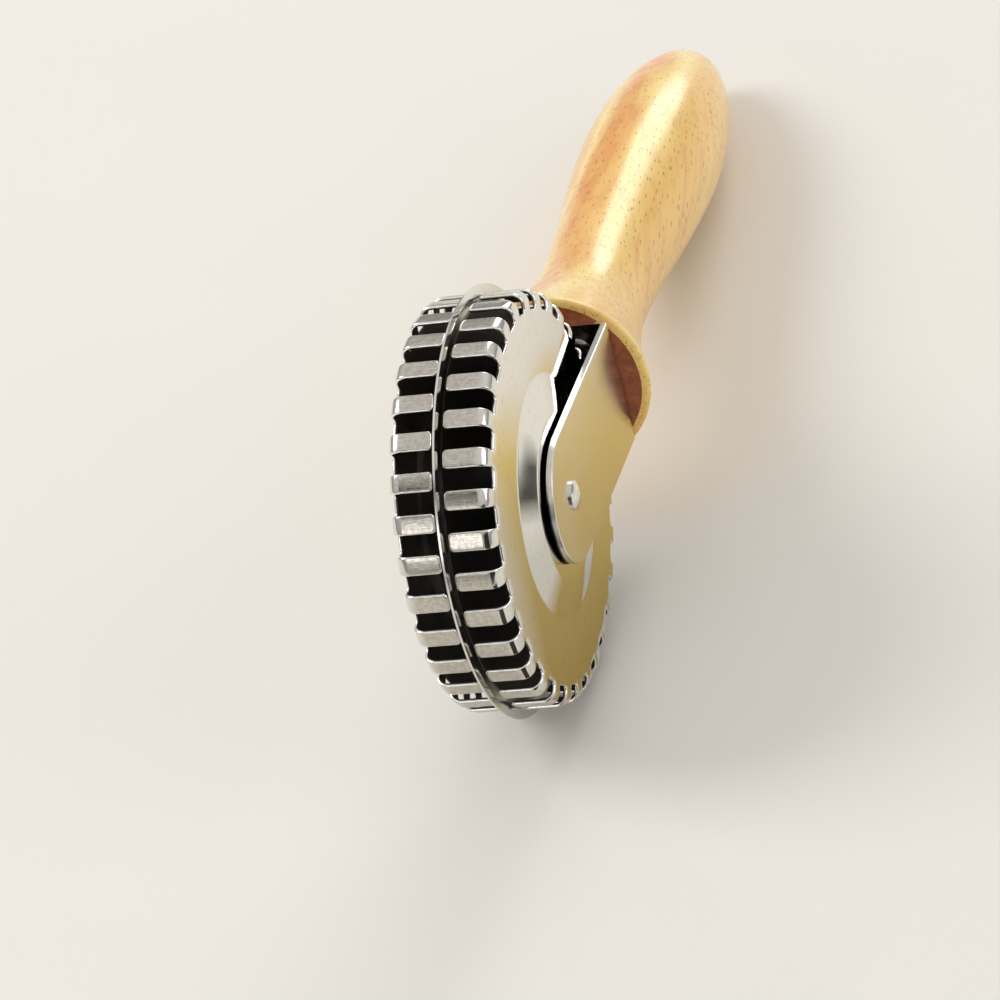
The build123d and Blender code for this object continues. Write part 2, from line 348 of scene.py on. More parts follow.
def cover_layout():
    """Row distance and angle of each point, measured from the middle of a slot, for one sector
    after another: the ring's rows, and then each tooth's rows, whose angles are half the pitch plus
    the half-angle of the row times the column's share."""
    between = PITCH + floor_columns * (PITCH / 2 - tooth_half[0])
    ring = np.concatenate([PITCH / 2 + columns * tooth_half[0], between])
    ring = np.tile(ring, (len(face_rows), TOOTH_COUNT, 1))
    fingers = PITCH / 2 + tooth_half[1:, None, None] * columns
    fingers = np.tile(fingers, (1, TOOTH_COUNT, 1))
    row = np.concatenate(
        [
            np.broadcast_to(face_rows[:, None, None], ring.shape).ravel(),
            np.broadcast_to(slot_at + tooth_rows[1:, None, None], fingers.shape).ravel(),
        ]
    )
    number = np.arange(TOOTH_COUNT)[None, :, None]
    sector = [np.broadcast_to(number, part.shape).ravel() for part in (ring, fingers)]
    return row, np.concatenate([ring.ravel(), fingers.ravel()]), np.concatenate(sector)


def cover_quads():
    """Quads of the ring of columns, and then of each tooth, whose first row is the ring's last."""
    around = TOOTH_COUNT * SECTOR
    ring = grid_faces(len(face_rows), around, 0, True)
    last = (len(face_rows) - 1) * around + np.arange(around)
    last = last.reshape(TOOTH_COUNT, -1)[:, : len(columns)]
    rows = len(tooth_rows) - 1
    own = len(face_rows) * around + np.arange(rows * TOOTH_COUNT * len(columns))
    grid = np.concatenate([last[None], own.reshape(rows, TOOTH_COUNT, len(columns))])
    corners = [grid[:-1, :, :-1], grid[:-1, :, 1:], grid[1:, :, 1:], grid[1:, :, :-1]]
    return np.vstack([ring, np.stack(corners, axis=-1).reshape(-1, 4)])


print("one skin has", len(cover_layout()[0]), "points and", len(cover_quads()), "faces")

# %% [markdown]
# Two helpers bring the layout into space. One finds the edges of the skin, where the sheet was cut:
# they are the edges that only one face uses. The other gives each point its place, at the depth that
# its skin has there.

# %% Edges of a skin, and its points in space


def open_edges(quads):
    """The edges that only one quad uses, each in that quad's direction."""
    edges = np.vstack([quads[:, [k, (k + 1) % 4]] for k in range(4)])
    ends = np.sort(edges, axis=1)
    code = ends[:, 0].astype(np.int64) * (quads.max() + 1) + ends[:, 1]
    _, back, count = np.unique(code, return_inverse=True, return_counts=True)
    return edges[count[back] == 1]


def skin_points(rows, angle, sector, depth, side, turn):
    """The wheel's centre, plus a spoke times the radius, plus the axle times the height. Radius and
    height come from the outline, moved inwards along its normal by the depth. The spoke is (cos
    angle, 0, -sin angle), and side is 1 on the left and -1 on the right."""
    place = points_at(fine_path, rows)
    along = points_at(fine_path, rows + PATH_STEP) - points_at(fine_path, rows - PATH_STEP)
    along /= np.linalg.norm(along, axis=1)[:, None]
    place = place + depth[:, None] * np.column_stack([along[:, 1], -along[:, 0]])
    angle = turn + PITCH * sector + angle
    spoke = np.column_stack([np.cos(angle), 0 * angle, -np.sin(angle)])
    return wheel_centre + MM * (place[:, :1] * spoke + side * place[:, 1:] * sideways)


print("edges where the sheet is cut:", len(open_edges(cover_quads())))

# %% [markdown]
# The sheet gets its thickness from two skins. A solidify modifier could add the second, but it can't
# round the cut edges. So there is the outer skin, the same skin one sheet further in and facing the
# other way, and a band of quads that joins them round every cut. Both covers are the same stamping.
# The right one is mirrored and turned by half a tooth, as the photograph shows. The faces are
# numbered in three parts: plated outside, dull inside, and the band of the cut edge.

# %% Stamp the two covers
SHEET = 0.8
WHEEL_TURN = radians(9.2)


def stamped_cover(name, node, side, turn):
    """Outer skin, inner skin and the band between them round every cut edge, as one closed mesh.
    Each point carries its distance along the tooth and its nearness to a cut edge, for the steel's
    material to read."""
    rows, angle, sector = cover_layout()
    near_slot = np.mod(angle + PITCH / 2, PITCH) - PITCH / 2
    radius = points_at(fine_path, rows)[:, 0]
    drop = sink(edge_distance(rows, near_slot, radius))
    outer = skin_points(rows, angle, sector, drop, side, turn)
    inner = skin_points(rows, angle, sector, SHEET - drop, side, turn)
    skin = cover_quads()
    rim = open_edges(skin)
    rim = np.column_stack([rim[:, 1], rim[:, 0], rim[:, 0] + len(outer), rim[:, 1] + len(outer)])
    quads = np.vstack([skin, skin[:, ::-1] + len(outer), rim])
    if side > 0:
        quads = quads[:, ::-1]
    piece = mesh_piece(name, np.vstack([outer, inner]), quads)
    index = np.repeat([0, 1, 2], [len(skin), len(skin), len(rim)]).astype(np.int32)
    piece.data.polygons.foreach_set("material_index", index)
    point_numbers = {"along_tooth": np.maximum(rows - slot_at, 0), "cut_edge": drop / EDGE_ROUND}
    for title, numbers in point_numbers.items():
        layer = piece.data.attributes.new(title, "FLOAT", "POINT")
        layer.data.foreach_set("value", np.tile(numbers, 2).astype(np.float32))
    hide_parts(node)
    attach(piece, "wheel")
    return piece


left_cover = stamped_cover("stamped_cover_left", "cover_left", 1, WHEEL_TURN)
right_cover = stamped_cover("stamped_cover_right", "cover_right", -1, WHEEL_TURN + PITCH / 2)

# %% [markdown]
# Every finish below is a small tree of shader nodes. Three helpers keep them readable: one joins or
# sets an input, one makes a material with its Principled shader, and one adds a node.

# %% Helpers that make materials and nodes


def put(look, socket, value):
    """Joins a node's output to a socket, or sets the socket's own value."""
    if isinstance(value, bpy.types.NodeSocket):
        look.node_tree.links.new(value, socket)
    else:
        socket.default_value = value


def finish_named(name, **values):
    """A new material and its Principled shader, with the values given set on the shader."""
    look = bpy.data.materials.new(name)
    look.use_nodes = True
    shader = look.node_tree.nodes["Principled BSDF"]
    for key, value in values.items():
        put(look, shader.inputs[key.replace("_", " ")], value)
    return look, shader


def add(look, kind, inputs=None, **settings):
    """Adds a node of a kind, such as TexNoise, with its settings and inputs, and returns it."""
    node = look.node_tree.nodes.new("ShaderNode" + kind)
    for key, value in settings.items():
        setattr(node, key, value)
    for key, value in (inputs or {}).items():
        put(look, node.inputs[key], value)
    return node

# %% [markdown]
# The other helpers are for what comes up again and again: numbers taken to another range, two
# colours mixed, two numbers combined, noise, and bumps. A texture reads Object coordinates, which
# are metres in the model's own frame, so a scale of 1000 gives features about a millimetre across.

# %% Helpers for numbers, colours and noise


def spread(look, value, low, high, to_low, to_high):
    """Takes a value from one range to another and holds it inside the second."""
    inputs = {"Value": value, "From Min": low, "From Max": high, "To Min": to_low}
    inputs["To Max"] = to_high
    return add(look, "MapRange", inputs).outputs["Result"]


def blended(look, share, first, second):
    """A colour between two colours, by a share from 0 to 1."""
    mix = add(look, "Mix", data_type="RGBA")
    put(look, mix.inputs["Factor"], share)
    put(look, mix.inputs[6], first)
    put(look, mix.inputs[7], second)
    return mix.outputs[2]


def combined(look, operation, first, second):
    """The sum, product or other result of two numbers."""
    node = add(look, "Math", operation=operation)
    put(look, node.inputs[0], first)
    put(look, node.inputs[1], second)
    return node.outputs[0]


def stretched(look, scale, turn=(0, 0, 0)):
    """Object coordinates turned and then scaled apart along their axes."""
    place = add(look, "TexCoord").outputs["Object"]
    if any(turn):
        rotation = {"Vector": place, "Rotation": turn}
        place = add(look, "VectorRotate", rotation, rotation_type="EULER_XYZ").outputs[0]
    return add(look, "Mapping", {"Vector": place, "Scale": scale}, vector_type="POINT").outputs[0]


def noise(look, vector, scale, detail=3.0, roughness=0.5):
    """Fractal noise, a number around 0.5."""
    inputs = {"Vector": vector, "Scale": scale, "Detail": detail, "Roughness": roughness}
    return add(look, "TexNoise", inputs).outputs["Fac"]


def bump(look, height, distance, strength):
    """A bump in metres from a height of 0 to 1."""
    inputs = {"Height": height, "Distance": distance, "Strength": strength}
    return add(look, "Bump", inputs).outputs["Normal"]


def tell(look):
    """Prints a material's name and how many shader nodes it has."""
    print("finish", look.name, "has", len(look.node_tree.nodes), "nodes")

# %% [markdown]
# The steel parts are plated and polished, so each is a metal with a low roughness. Real plate is
# never even: handling leaves faint smears, which show as patches of slightly higher roughness, and
# the sheet under the plate has a very slight waviness that bends the reflections.

# %% Polished plate
PLATE = (0.77, 0.755, 0.715)
# Painted shade: the screws sit in the shaded inside of the U, so their grey is darkened.
SCREW_GREY_AS_SHADE = (0.27, 0.26, 0.245)
TURNED_GREY = (0.40, 0.39, 0.37)


def polished(name, colour, low, high, wave=0.35):
    """Metal whose roughness runs from low to high in soft patches, with a faint waviness."""
    look, shader = finish_named(name, Base_Color=(*colour, 1), Metallic=1.0)
    place = stretched(look, (1, 1, 1))
    smears = noise(look, place, 60.0, 4.0, 0.6)
    specks = noise(look, place, 900.0, 2.0)
    patches = spread(look, smears, 0.35, 0.7, low, high)
    put(look, shader.inputs["Roughness"], patches)
    dust = tuple(0.72 * part for part in colour)
    tint = blended(look, spread(look, specks, 0.55, 0.8, 0, 0.5), (*colour, 1), (*dust, 1))
    put(look, shader.inputs["Base Color"], tint)
    put(look, shader.inputs["Normal"], bump(look, smears, 0.00002, wave))
    return look, shader


rivet_plate = polished("polished_rivet", PLATE, 0.08, 0.16)[0]
screw_steel = polished("screw_steel_darkened_as_shade", SCREW_GREY_AS_SHADE, 0.14, 0.3)[0]
plain_steel = polished("plain_turned_steel", TURNED_GREY, 0.3, 0.5)[0]
for look in (rivet_plate, screw_steel, plain_steel):
    tell(look)

# %% [markdown]
# The strap is polished outside. Inside the U its colour is painted near-black as painted shade for
# the hollow.
# Two materials would need two groups of faces, and the CAD mesh must stay as it is, so one material
# does both. The inside of the U is what lies closer to the middle than the arms' outer faces and,
# along the handle, before the web's outer face. Both distances are the CAD's. The cut edges of the
# strap point neither in nor out. They are found by their normal and stay bright.

# %% The strap, polished outside, with painted shade inside the U
ARM_OUTSIDE = 13.3
# Painted shade: the near-black colour inside the U.
PAINTED_SHADE_IN_U = (0.10, 0.092, 0.085, 1)
strap_plate, shader = polished("polished_strap_plate", PLATE, 0.16, 0.28)
spot = add(strap_plate, "TexCoord").outputs["Object"]
parts = add(strap_plate, "SeparateXYZ", {"Vector": spot}).outputs
off_middle = combined(strap_plate, "ABSOLUTE", parts["Y"], 0.0)
full_from = (ARM_OUTSIDE - 1.05) * MM
none_from = (ARM_OUTSIDE - 0.75) * MM
between_arms = spread(strap_plate, off_middle, full_from, none_from, 1, 0)
towards = add(strap_plate, "VectorMath", {0: spot, 1: tuple(along_handle)}, operation="DOT_PRODUCT")
web_at = float(wheel_centre @ along_handle) + WEB_DISTANCE * MM
before_web = spread(strap_plate, towards.outputs["Value"], web_at - 0.0004, web_at - 0.0002, 1, 0)
shade_in_u = combined(strap_plate, "MULTIPLY", between_arms, before_web)
facing = {0: add(strap_plate, "TexCoord").outputs["Normal"], 1: tuple(across_strap)}
edge_on = add(strap_plate, "VectorMath", facing, operation="DOT_PRODUCT").outputs["Value"]
edge_on = combined(strap_plate, "ABSOLUTE", edge_on, 0.0)
shade_in_u = combined(strap_plate, "MULTIPLY", shade_in_u, spread(strap_plate, edge_on, 0.4, 0.7, 1, 0))
outside = shader.inputs["Base Color"].links[0].from_socket
put(strap_plate, shader.inputs["Base Color"], blended(strap_plate, shade_in_u, outside, PAINTED_SHADE_IN_U))
tell(strap_plate)

# %% [markdown]
# The disc is bright only at its edge, which is ground and which use keeps rubbing. Inside the covers
# it is dull, and its colour there is painted dark as shade for the closed hollow of the wheel. One
# material does both: the distance from the axle decides.

# %% The disc, bright at the edge, with painted shade inside
# Painted shade: the dark colour of the disc where it lies inside the covers.
PAINTED_WHEEL_SHADE = (0.05, 0.042, 0.036, 1)
DULL_UNDER = 0.0362
BRIGHT_OVER = 0.0374
disc_plate, shader = polished("ground_disc_steel", PLATE, 0.14, 0.26)
from_axle = add(disc_plate, "VectorMath", operation="SUBTRACT")
put(disc_plate, from_axle.inputs[0], add(disc_plate, "TexCoord").outputs["Object"])
put(disc_plate, from_axle.inputs[1], tuple(wheel_centre))
reach = add(disc_plate, "VectorMath", {0: from_axle.outputs[0]}, operation="LENGTH")
inside = spread(disc_plate, reach.outputs["Value"], DULL_UNDER, BRIGHT_OVER, 1, 0)
bright = shader.inputs["Base Color"].links[0].from_socket
put(disc_plate, shader.inputs["Base Color"], blended(disc_plate, inside, bright, PAINTED_WHEEL_SHADE))
ground = shader.inputs["Roughness"].links[0].from_socket
dull = combined(disc_plate, "MULTIPLY", inside, 0.35)
put(disc_plate, shader.inputs["Roughness"], combined(disc_plate, "ADD", ground, dull))
tell(disc_plate)

# %% [markdown]
# A cover's plate is a mirror on its face and at the bend. The flats of the teeth are what the tool
# rolls on, so they are scuffed: fine scratches run across each tooth, in line with the axle, and
# the plate there is greyer and less sharp. The mask for this is the distance along the tooth, which
# the mesh carries as its own attribute, so no picture has to be unwrapped onto it. The scratches are
# noise drawn out along the axle. The rounded edges are rubbed bright, by the mesh's other attribute.

# %% The covers' plate, scuffed on the teeth
SCUFFED = (0.48, 0.445, 0.38, 1)
SCRATCHED = (0.80, 0.78, 0.74, 1)
RUBBED = (0.92, 0.91, 0.88, 1)
cover_plate, shader = polished("stamped_cover_plate", PLATE, 0.035, 0.08, 0.15)
along = add(cover_plate, "Attribute", attribute_name="along_tooth").outputs["Fac"]
flat = spread(cover_plate, along, 3.4, 5.4, 0, 1)
scratches = noise(cover_plate, stretched(cover_plate, (1.0, 0.05, 1.0)), 5200.0, 3.0, 0.65)
rubbed = noise(cover_plate, stretched(cover_plate, (1, 1, 1)), 1100.0, 4.0, 0.65)
worn = combined(cover_plate, "MULTIPLY", flat, spread(cover_plate, rubbed, 0.35, 0.6, 0.55, 1.0))
mirror = shader.inputs["Base Color"].links[0].from_socket
tone = blended(cover_plate, worn, mirror, SCUFFED)
marks = combined(cover_plate, "MULTIPLY", worn, spread(cover_plate, scratches, 0.55, 0.7, 0, 0.8))
tone = blended(cover_plate, marks, tone, SCRATCHED)
edge_share = add(cover_plate, "Attribute", attribute_name="cut_edge").outputs["Fac"]
tone = blended(cover_plate, spread(cover_plate, edge_share, 0.05, 0.35, 0, 1), tone, RUBBED)
put(cover_plate, shader.inputs["Base Color"], tone)
sharp = shader.inputs["Roughness"].links[0].from_socket
softer = combined(cover_plate, "MULTIPLY", worn, 0.16)
put(cover_plate, shader.inputs["Roughness"], combined(cover_plate, "ADD", sharp, softer))
height = combined(cover_plate, "MULTIPLY", scratches, worn)
put(cover_plate, shader.inputs["Normal"], bump(cover_plate, height, 0.00003, 0.5))
tell(cover_plate)

# %% [markdown]
# The inside of a cover is never polished. Its colour is painted nearly black as painted shade for the
# closed hollow inside the wheel, and it is only patchily shiny. The band of the cut edge is the steel
# that the punch sheared: it is bright and has fine grit marks. Each is a material of its own, because
# the mesh marks its faces apart. They fill the cover's material slots in the order in which the faces
# were numbered.

# %% The covers' inside, painted dark as shade, and bright cut edges
# Painted shade: these two dark colours paint the closed inside of each cover near-black.
DARKEST = (0.028, 0.02, 0.014, 1)
LIGHTER_PAINTED_SHADE = (0.10, 0.077, 0.06, 1)
SHEARED = (0.95, 0.94, 0.92, 1)
GRITTY = (0.82, 0.80, 0.77, 1)
cover_inside, shader = finish_named("dull_inside_of_cover", Metallic=0.6)
shade_mottle = noise(cover_inside, stretched(cover_inside, (1, 1, 1)), 260.0, 4.0, 0.6)
put(cover_inside, shader.inputs["Base Color"], blended(cover_inside, shade_mottle, DARKEST, LIGHTER_PAINTED_SHADE))
put(cover_inside, shader.inputs["Roughness"], spread(cover_inside, shade_mottle, 0.3, 0.7, 0.4, 0.6))

cut_edge, shader = finish_named("bright_cut_edge", Metallic=1.0)
grit = noise(cut_edge, stretched(cut_edge, (1, 0.2, 1)), 2500.0, 2.0)
put(cut_edge, shader.inputs["Base Color"], blended(cut_edge, grit, SHEARED, GRITTY))
put(cut_edge, shader.inputs["Roughness"], spread(cut_edge, grit, 0.3, 0.7, 0.12, 0.25))

for cover in (left_cover, right_cover):
    for look in (cover_plate, cover_inside, cut_edge):
        cover.data.materials.append(look)
tell(cover_inside)
tell(cut_edge)

# %% [markdown]
# The solids that keep their CAD mesh only change their finish: each one's material slots are
# cleared and get the finish of its part.

# %% Dress the solids that stay
worn_by = {
    "fork": strap_plate,
    "fork_screws": screw_steel,
    "axle_rivet": rivet_plate,
    "cutting_disc": disc_plate,
    "hub_sleeve": plain_steel,
    "spacer_left": plain_steel,
    "spacer_right": plain_steel,
}
for node, look in worn_by.items():
    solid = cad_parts[node]
    solid.data.materials.clear()
    solid.data.materials.append(look)
    print(node, "wears", look.name)

# %% [markdown]
# The handle is a pale hardwood under clear varnish. A photo of wood wrapped round it would show a
# seam. Wood is a solid material, so its figure comes from noise in space, drawn out along the
# handle. The turned shape cuts through it, so the grain curves by itself where the flare narrows.
# Two helpers make what the figure needs: fine lines, and short dark pores two or three millimetres
# long.

# %% Helpers for wood
GRAIN_TURN = (0, -HANDLE_SLOPE, 0)


def grained(look, length_scale, across_scale, scale, detail, roughness=0.5):
    """Noise drawn out along the handle's axis, by scaling that axis less than the others."""
    place = stretched(look, (length_scale, across_scale, across_scale), GRAIN_TURN)
    return noise(look, place, scale, detail, roughness)


def pores(look, length_mm, width_mm, amount):
    """Short dark flecks: cells drawn out along the grain, kept where the cell's own random number
    is under the amount and the point is near the cell's middle."""
    place = stretched(look, (1000 / length_mm, 1000 / width_mm, 1000 / width_mm), GRAIN_TURN)
    cell = add(look, "TexVoronoi", {"Vector": place, "Scale": 1.0, "Randomness": 1.0})
    near = spread(look, cell.outputs["Distance"], 0.18, 0.42, 1, 0)
    split = add(look, "SeparateColor", {"Color": cell.outputs["Color"]})
    kept = spread(look, split.outputs["Red"], amount, amount - 0.05, 0, 1)
    return combined(look, "MULTIPLY", near, kept)


print("grain runs along", along_handle.round(3))

# %% [markdown]
# The plank that the handle was turned from had layers: cream in general, an orange streak left of
# the middle, as the picture shows it, one at the left edge, and a broad tan one on the right. A layer
# is a band across the axle's direction, and noise makes it waver. On top come darker grain lines and
# the pores. The varnish is the shader's coat, and the wood below it hardly shines by itself.

# %% Varnished wood
varnish = {"Coat_Weight": 1.0, "Coat_Roughness": 0.22, "Specular_IOR_Level": 0.2}
wood, shader = finish_named("varnished_pale_wood", **varnish)
CREAM = (0.95, 0.70, 0.22, 1)
HONEY = (0.80, 0.35, 0.08, 1)
TAN = (0.92, 0.55, 0.155, 1)
DARK_GRAIN = (0.45, 0.17, 0.045, 1)
PORE = (0.36, 0.09, 0.02, 1)
broad = grained(wood, 6, 75, 1.0, 2.0)
fine = grained(wood, 24, 700, 1.0, 4.0, 0.6)
across = add(wood, "SeparateXYZ", {"Vector": add(wood, "TexCoord").outputs["Object"]}).outputs["Y"]
layer = combined(wood, "ADD", across, spread(wood, broad, 0.25, 0.75, -0.004, 0.004))


def streak(look, middle, half_width, amount):
    """One layer of the plank: full near the middle, none beyond the half width plus 2.2 mm."""
    off = combined(look, "ABSOLUTE", combined(look, "SUBTRACT", layer, middle * MM), 0.0)
    return spread(look, off, (half_width - 1.6) * MM, (half_width + 2.2) * MM, amount, 0)


lines = spread(wood, grained(wood, 10, 260, 1.0, 3.0), 0.35, 0.6, 0.6, 1.0)
honey = combined(wood, "MULTIPLY", streak(wood, -3.2, 3.6, 1.0), lines)
honey = combined(wood, "MAXIMUM", honey, streak(wood, -12.5, 1.6, 0.7))
tone = blended(wood, honey, CREAM, HONEY)
tone = blended(wood, streak(wood, 11.2, 4.2, 0.85), tone, TAN)
tone = blended(wood, spread(wood, fine, 0.5, 0.75, 0, 0.35), tone, DARK_GRAIN)
flecks = pores(wood, 2.8, 0.5, 0.3)
tone = blended(wood, combined(wood, "MULTIPLY", flecks, 0.65), tone, PORE)
put(wood, shader.inputs["Base Color"], tone)
put(wood, shader.inputs["Roughness"], spread(wood, fine, 0.3, 0.7, 0.35, 0.5))
tell(wood)

# %% [markdown]
# On the flat end face the saw cut across the grain. The face is coloured a darker reddish brown than
# the sides and is full of small dark pits. It is the same mesh, so the faces that lie in the plane of
# the end get a second material slot.

# %% The end grain
RED_BROWN = (0.42, 0.105, 0.025, 1)
DARK_BROWN = (0.235, 0.05, 0.012, 1)
PIT = (0.05, 0.016, 0.008, 1)
IN_PLANE = 0.005
end_grain, shader = finish_named("dark_end_grain", Coat_Weight=0.5, Coat_Roughness=0.2)
rings = noise(end_grain, stretched(end_grain, (1, 1, 1)), 420.0, 4.0, 0.6)
holes = add(end_grain, "TexVoronoi", {"Vector": stretched(end_grain, (1, 1, 1)), "Scale": 1300.0})
pits = spread(end_grain, holes.outputs["Distance"], 0.12, 0.3, 1, 0)
ring_share = spread(end_grain, rings, 0.35, 0.65, 0, 1)
tone = blended(end_grain, ring_share, RED_BROWN, DARK_BROWN)
tone = blended(end_grain, combined(end_grain, "MULTIPLY", pits, 0.7), tone, PIT)
put(end_grain, shader.inputs["Base Color"], tone)
put(end_grain, shader.inputs["Roughness"], spread(end_grain, rings, 0.3, 0.7, 0.45, 0.65))

handle.data.materials.append(wood)
handle.data.materials.append(end_grain)
middle_of_face = np.zeros(len(handle.data.polygons) * 3)
handle.data.polygons.foreach_get("center", middle_of_face)
from_start = (middle_of_face.reshape(-1, 3) - web_face) @ along_handle
cut_across = from_start < IN_PLANE * MM
handle.data.polygons.foreach_set("material_index", cut_across.astype(np.int32))
handle.data.update()
print("end-grain faces:", int(cut_across.sum()))

# %% [markdown]
# The part stands on a plain pale floor, one large square. A plane from the menu would do as well, but
# four points and the helper from above say its size in metres. A matt finish with a hardly visible
# mottle keeps it from looking like a sheet of paper.

# %% The floor
PALE = (0.785, 0.76, 0.706, 1)
PALER = (0.815, 0.79, 0.74, 1)
floor_points = np.array([(-8, -8, 0), (8, -8, 0), (8, 8, 0), (-8, 8, 0)], float)
floor = mesh_piece("pale_floor", floor_points, np.array([[0, 1, 2, 3]]), smooth=False)
table_top, shader = finish_named("pale_matt_floor", Roughness=0.85)
shade = noise(table_top, stretched(table_top, (1, 1, 1)), 12.0, 3.0)
put(table_top, shader.inputs["Base Color"], blended(table_top, shade, PALE, PALER))
floor.data.materials.append(table_top)

# %% [markdown]
# Plated steel has no look of its own, it shows what is round it. A photographer puts dark cards just
# outside the picture, so that bright steel gets dark lines. Three stand on the side from which the
# tool is looked at: one upright, one lying before the wheel, and one above. They give the bends of
# the teeth and the rivet their dark lines. They cast no shadow and only reflections see them, so the
# floor stays plain.

# %% The dark cards


def reflection_card(name, corners, colour):
    """A flat card with four corners in metres, seen only in reflections. It has one plain colour.
    Returns its material and shader."""
    card = mesh_piece(name, np.array(corners, float), np.array([[0, 1, 2, 3]]), smooth=False)
    look, shader = finish_named(name + "_paint", Roughness=1.0)
    grain = noise(look, stretched(look, (1, 1, 1)), 5.0, 2.0)
    lighter = tuple(1.15 * part for part in colour)
    put(look, shader.inputs["Base Color"], blended(look, grain, (*colour, 1), (*lighter, 1)))
    card.data.materials.append(look)
    card.visible_camera = False
    card.visible_diffuse = False
    card.visible_shadow = False
    return look, shader


BLACK_PAPER = (0.02, 0.018, 0.016)
DARK_PAPER = (0.03, 0.026, 0.022)
UPRIGHT = [(0.464, 0.46, 0.001), (0.636, 0.08, 0.001), (0.636, 0.08, 0.33), (0.464, 0.46, 0.33)]
LYING = [(0.104, 0.007, 0.0004), (0.42, 0.06, 0.0004), (0.36, 0.26, 0.0004), (0.104, 0.018, 0.0004)]
ABOVE = [(0.69, -0.10, 0.57), (0.58, -0.40, 0.57), (0.51, -0.37, 0.68), (0.62, -0.07, 0.68)]
reflection_card("dark_card", UPRIGHT, BLACK_PAPER)
reflection_card("dark_strip", LYING, DARK_PAPER)
reflection_card("dark_bar", ABOVE, BLACK_PAPER)

# %% [markdown]
# In the photograph the dome mirrors warm and pale surroundings. They aren't part of the tool, so a
# gold card lies beside the wheel in their place. The flat face of a cover mirrors one patch of the
# floor, so without the card the whole dome would be one grey. With it the dome is warm low down and
# white above, and the two creases show. Three limits shape the warm patch: how near it is to the
# wheel, how far forward, and a slanted line that ends it on the far side.

# %% The gold card beside the wheel
GOLD = (0.80, 0.62, 0.24)
DEEP_GOLD = (0.52, 0.375, 0.12, 1)
CARD_WHITE = (0.90, 0.87, 0.80, 1)
BESIDE = [(-0.1, 0.012, 0.0003), (0.1, 0.012, 0.0003), (0.1, 0.14, 0.0003), (-0.1, 0.14, 0.0003)]
gold_look, shader = reflection_card("gold_card", BESIDE, GOLD)
spot = add(gold_look, "TexCoord").outputs["Object"]
parts = add(gold_look, "SeparateXYZ", {"Vector": spot}).outputs
deeper = spread(gold_look, parts["X"], 0.0, 0.07, 0, 1)
gold = shader.inputs["Base Color"].links[0].from_socket
gold = blended(gold_look, deeper, gold, DEEP_GOLD)
near = spread(gold_look, parts["Y"], 0.039, 0.045, 1, 0)
front = spread(gold_look, parts["X"], -0.02, 0.006, 0, 1)
slanted = combined(gold_look, "ADD", combined(gold_look, "MULTIPLY", parts["X"], 0.42), parts["Y"])
inner = spread(gold_look, slanted, 0.050, 0.059, 1, 0)
ahead = spread(gold_look, parts["X"], -0.032, -0.018, 0, 1)
golden = combined(gold_look, "MULTIPLY", combined(gold_look, "MAXIMUM", near, front), inner)
golden = combined(gold_look, "MULTIPLY", golden, ahead)
toned = blended(gold_look, golden, CARD_WHITE, gold)
tell(gold_look)

# %% [markdown]
# The ring between the two creases carries a dark band, where it mirrors something dark. The ring is
# curved, so the band comes from an arc painted on the card. Its place was found by following rays
# from the camera over the ring down to the floor. The arc is the part of the card that lies at one
# distance from a middle point, between two limits forward and back.

# %% The dark arc on the gold card
ARC_MIDDLE = (-0.0174, 0.0285, 0.0003)
ARC_RADIUS = 0.066
ARC_DARK = (0.03, 0.027, 0.023, 1)
away = add(gold_look, "VectorMath", {0: spot, 1: ARC_MIDDLE}, operation="DISTANCE")
off_arc = combined(gold_look, "SUBTRACT", away.outputs["Value"], ARC_RADIUS)
off_arc = combined(gold_look, "ABSOLUTE", off_arc, 0.0)
dull = spread(gold_look, off_arc, 0.0024, 0.0044, 1, 0)
dull = combined(gold_look, "MULTIPLY", dull, spread(gold_look, parts["X"], -0.028, -0.004, 0, 1))
dull = combined(gold_look, "MULTIPLY", dull, spread(gold_look, parts["X"], 0.018, 0.034, 1, 0))
put(gold_look, shader.inputs["Base Color"], blended(gold_look, dull, toned, ARC_DARK))
tell(gold_look)

# %% [markdown]
# The world is the soft light from all round. A picture wrapped round the scene could do this too, but
# a plain world leaves no strange shapes in the steel. Diffuse surfaces get one even light.
# Reflections see a grey that is darker at the horizon and brighter overhead, as under a pale ceiling.

# %% The world
WARM_WHITE = (1.0, 0.985, 0.96, 1)


def studio_world(light, low, high):
    """White for the camera and an even light for diffuse rays. For glossy rays it is a grey that
    runs from low at the horizon to high overhead, by the height of the ray's direction."""
    world = bpy.data.worlds.new("soft_studio")
    world.use_nodes = True
    world.node_tree.nodes.clear()
    path = add(world, "LightPath").outputs
    direction = add(world, "TexCoord").outputs["Generated"]
    rise = add(world, "SeparateXYZ", {"Vector": direction}).outputs["Z"]
    grey = spread(world, rise, 0.0, 0.75, low, high)
    even = add(world, "Background", {"Color": WARM_WHITE, "Strength": light}).outputs[0]
    seen = add(world, "Background", {"Color": (1, 1, 1, 1), "Strength": 1.0}).outputs[0]
    mirrored = add(world, "Background", {"Color": WARM_WHITE, "Strength": grey}).outputs[0]
    lit = add(world, "MixShader", {"Fac": path["Is Camera Ray"], 1: even, 2: seen}).outputs[0]
    shiny = combined(world, "MAXIMUM", path["Is Glossy Ray"], path["Is Transmission Ray"])
    whole = add(world, "MixShader", {"Fac": shiny, 1: lit, 2: mirrored}).outputs[0]
    add(world, "OutputWorld", {"Surface": whole})
    bpy.context.scene.world = world


studio_world(0.57, 0.3, 0.8)
print("world", bpy.context.scene.world.name, "is set")

# %% [markdown]
# Three large oval lamps stand far off, so that their light is soft and even over the floor. The
# overhead lamp, up on the picture's left, is the main light. The window lamp behind the tip draws
# the long highlight down the handle. A weak one on the picture's right keeps that side of the handle
# and its shadow from going grey. The fourth lamp, the low window, is small and stands in front. It
# makes a tooth on each side flash white.

# %% The lamps
FOOT = (0, 0, 0.03)


